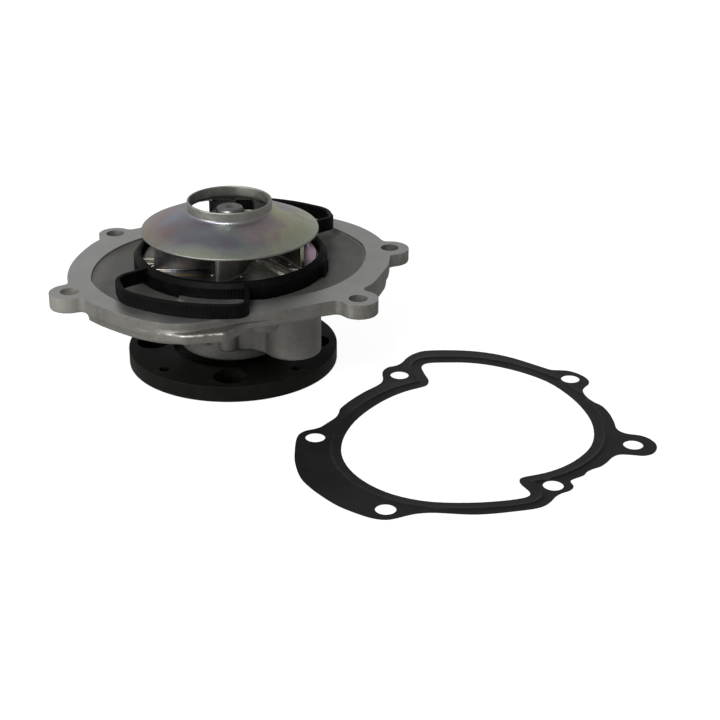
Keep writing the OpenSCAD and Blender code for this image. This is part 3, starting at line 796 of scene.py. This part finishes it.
def make_gasket():
    """Coated sheet with an embossed bead that follows the water opening."""
    bead_at, bead_half, bead_rise, sheet = 4.9, 1.3, 0.46, 0.42
    cad_top, edge_gap, edge_run = 0.9, 0.35, 1.2
    rings = rings_of(nodes["gasket"].data, cad_top)
    outer, opening, holes = rings[0], rings[1], rings[2:]
    points = [p for ring in rings for p in ring]
    edges, start = [], 0
    for ring in rings:
        edges += [(start + i, start + (i + 1) % len(ring)) for i in range(len(ring))]
        start += len(ring)
    outline = np.array(opening)
    ahead = np.roll(outline, -1, 0) - np.roll(outline, 1, 0)
    across = np.stack([-ahead[:, 1], ahead[:, 0]], 1) / np.linalg.norm(ahead, axis=1)[:, None]
    if inside(outline[:1] + across[:1] * 0.5, opening)[0]:
        across = -across
    for reach in np.linspace(bead_at - bead_half, bead_at + bead_half, 9):
        row = outline + across * reach
        keep = distance_to(row, opening) > reach - 0.04
        keep &= inside(row, outer) & (distance_to(row, outer) > edge_gap)
        for hole in holes:
            keep &= ~inside(row, hole) & (distance_to(row, hole) > edge_gap)
        points += [tuple(p) for p in row[keep]]
    flat, _, triangles, *_ = delaunay_2d_cdt([Vector(p) for p in points], edges, [], 0, 1e-5)
    flat = np.array([tuple(p) for p in flat])
    centres = np.array([flat[list(t)].mean(0) for t in triangles])
    keep = inside(centres, outer) & ~inside(centres, opening)
    for hole in holes:
        keep &= ~inside(centres, hole)
    triangles = [t for t, k in zip(triangles, keep) if k]
    away = np.abs(distance_to(flat, opening) - bead_at) / bead_half
    near_edge = np.minimum(1, distance_to(flat, outer) / edge_run)
    for hole in holes:
        near_edge = np.minimum(near_edge, distance_to(flat, hole) / edge_run)
    crown = 0.5 + 0.5 * np.cos(np.pi * np.clip(away, 0, 1))
    rise = bead_rise * crown * np.clip(near_edge, 0, 1)
    count = len(flat)
    verts = [(x, y, sheet + h) for (x, y), h in zip(flat, rise)]
    verts += [(x, y, 0.01 + max(0.0, h - 0.02)) for (x, y), h in zip(flat, rise)]
    faces = [tuple(t) for t in triangles]
    faces += [tuple(count + i for i in reversed(t)) for t in triangles]
    borders = {}
    for t in triangles:
        for a, b in zip(t, t[1:] + t[:1]):
            if (b, a) in borders:
                del borders[(b, a)]
            else:
                borders[(a, b)] = True
    faces += [(b, a, count + a, count + b) for a, b in borders]
    mesh = mesh_of("gasket_sheet", verts, faces)
    bm = bmesh.new()
    bm.from_mesh(mesh)
    bmesh.ops.delete(bm, geom=[v for v in bm.verts if not v.link_faces], context="VERTS")
    bmesh.ops.recalc_face_normals(bm, faces=bm.faces)
    bm.to_mesh(mesh)
    bm.free()
    return piece("gasket_sheet", mesh, "gasket", ["gasket"], [GASKET], 50)


def rest_of_nodes():
    """Materials of the CAD nodes that are shown as they are."""
    brass = plain_stuff("cup_brass", (0.62, 0.46, 0.2), (0.45, 0.33, 0.14), 0.25, 1.0)
    lip = plain_stuff("lip_rubber", (0.014, 0.014, 0.015), (0.008, 0.008, 0.009), 0.55)
    nylon = plain_stuff("cage_nylon", (0.46, 0.33, 0.18), (0.37, 0.25, 0.13), 0.5)
    bright = plain_stuff("bright_steel", (0.6, 0.6, 0.6), (0.5, 0.5, 0.5), 0.15, 1.0)
    carbon = plain_stuff("lapped_carbon", (0.035, 0.035, 0.037), (0.02, 0.02, 0.022), 0.3)
    ceramic = plain_stuff("lapped_ceramic", (0.72, 0.7, 0.65), (0.62, 0.6, 0.55), 0.2)
    looks = {
        "reservoir_plug": bright, "bearing_outer_race": STEEL, "bearing_balls": bright,
        "ball_cage": nylon,
        "bearing_rollers": bright, "roller_cage": nylon, "bearing_seal_hub_side": lip,
        "bearing_seal_pump_side": lip, "slinger": bright, "seal_cup": brass,
        "seal_bellows": lip, "seal_spring": bright, "seal_carbon_ring": carbon,
        "seal_mating_ring": ceramic, "seal_mating_boot": lip,
        "impeller_back_plate": ZINC_SHADED}
    for name, material in looks.items():
        data = nodes[name].data
        data.materials.clear()
        data.materials.append(material)


# ---- Stage ----


def make_camera():
    """A long lens that looks along Y and down on the pump, rolled by a trace."""
    data = bpy.data.cameras.new("camera")
    data.lens, data.sensor_width, data.clip_end = 78, 36, 50
    camera = bpy.data.objects.new("camera", data)
    bpy.context.scene.collection.objects.link(camera)
    camera.matrix_world = (Matrix.Translation(CAMERA_AT * MM)
                           @ Matrix.Rotation(math.radians(90 - CAMERA_TILT), 4, "X")
                           @ Matrix.Rotation(math.radians(CAMERA_ROLL), 4, "Z"))
    bpy.context.scene.camera = camera


def area_light(name, place, target, size, power):
    data = bpy.data.lights.new(name, "AREA")
    data.shape, data.size, data.energy = "DISK", size, power
    light = bpy.data.objects.new(name, data)
    light.location = place
    aim = Vector(target) - Vector(place)
    light.rotation_mode = "QUATERNION"
    light.rotation_quaternion = aim.to_track_quat("-Z", "Y")
    bpy.context.scene.collection.objects.link(light)


def make_floor():
    """A pale table that glows, more for the camera than on to the pump, with a painted contact shadow
    where the hub stands.
    """
    reach, drop = 12.0, -0.0002
    mesh = bpy.data.meshes.new("floor")
    mesh.from_pydata([(-reach, -reach, drop), (reach, -reach, drop), (reach, reach, drop),
                      (-reach, reach, drop)], [], [(0, 1, 2, 3)])
    floor = bpy.data.objects.new("floor", mesh)
    bpy.context.scene.collection.objects.link(floor)
    s = Shader("pale_floor", Roughness=0.9, Specular_IOR_Level=0.1, Base_Color=(0.2, 0.2, 0.2),
               Emission_Color=(1.0, 1.0, 1.0))
    light_given, shown_more = 0.28, 0.66
    seen = s.node("ShaderNodeLightPath").outputs["Is Camera Ray"]
    glow = s.calc("ADD", light_given, s.product(seen, shown_more))
    # Painted contact shadow: the glow stops where the hub stands on the table
    clear_of_painted_shadow = s.fade(s.from_axis(), 40, 49.5)
    s.put(s.bsdf.inputs["Emission Strength"], s.product(glow, clear_of_painted_shadow))
    mesh.materials.append(s.material)


def make_room():
    """Pale walls under a darker ceiling, brighter on the left."""
    world = bpy.data.worlds.new("room")
    bpy.context.scene.world = world
    world.use_nodes = True
    room = Nodes(world.node_tree)
    around = room.node("ShaderNodeTexCoord").outputs["Generated"]
    side = room.node("ShaderNodeSeparateXYZ", {0: around}).outputs
    height = room.span(side["Z"], 0.1, 0.95, 0.56, 0.28)
    lean = room.span(side["X"], -1, 1, 1.5, 0.3)
    background = room.tree.nodes["Background"]
    room.put(background.inputs["Color"], (0.97, 0.985, 1.0))
    room.put(background.inputs["Strength"], room.product(height, lean))


def make_stage():
    make_floor()
    area_light("key", (-0.27, -0.74, 0.91), (0.0, 0, 0.06), 0.42, 8)
    area_light("low_fill", (-0.80, -0.66, 0.34), (-0.03, 0, 0.04), 0.5, 4)
    make_room()
    bpy.context.scene.view_settings.view_transform = "Standard"


make_camera()
make_stage()
make_housing()
make_shroud()
make_flow_seal()
make_hub()
make_shaft()
make_insert()
make_segments()
make_gasket()
rest_of_nodes()
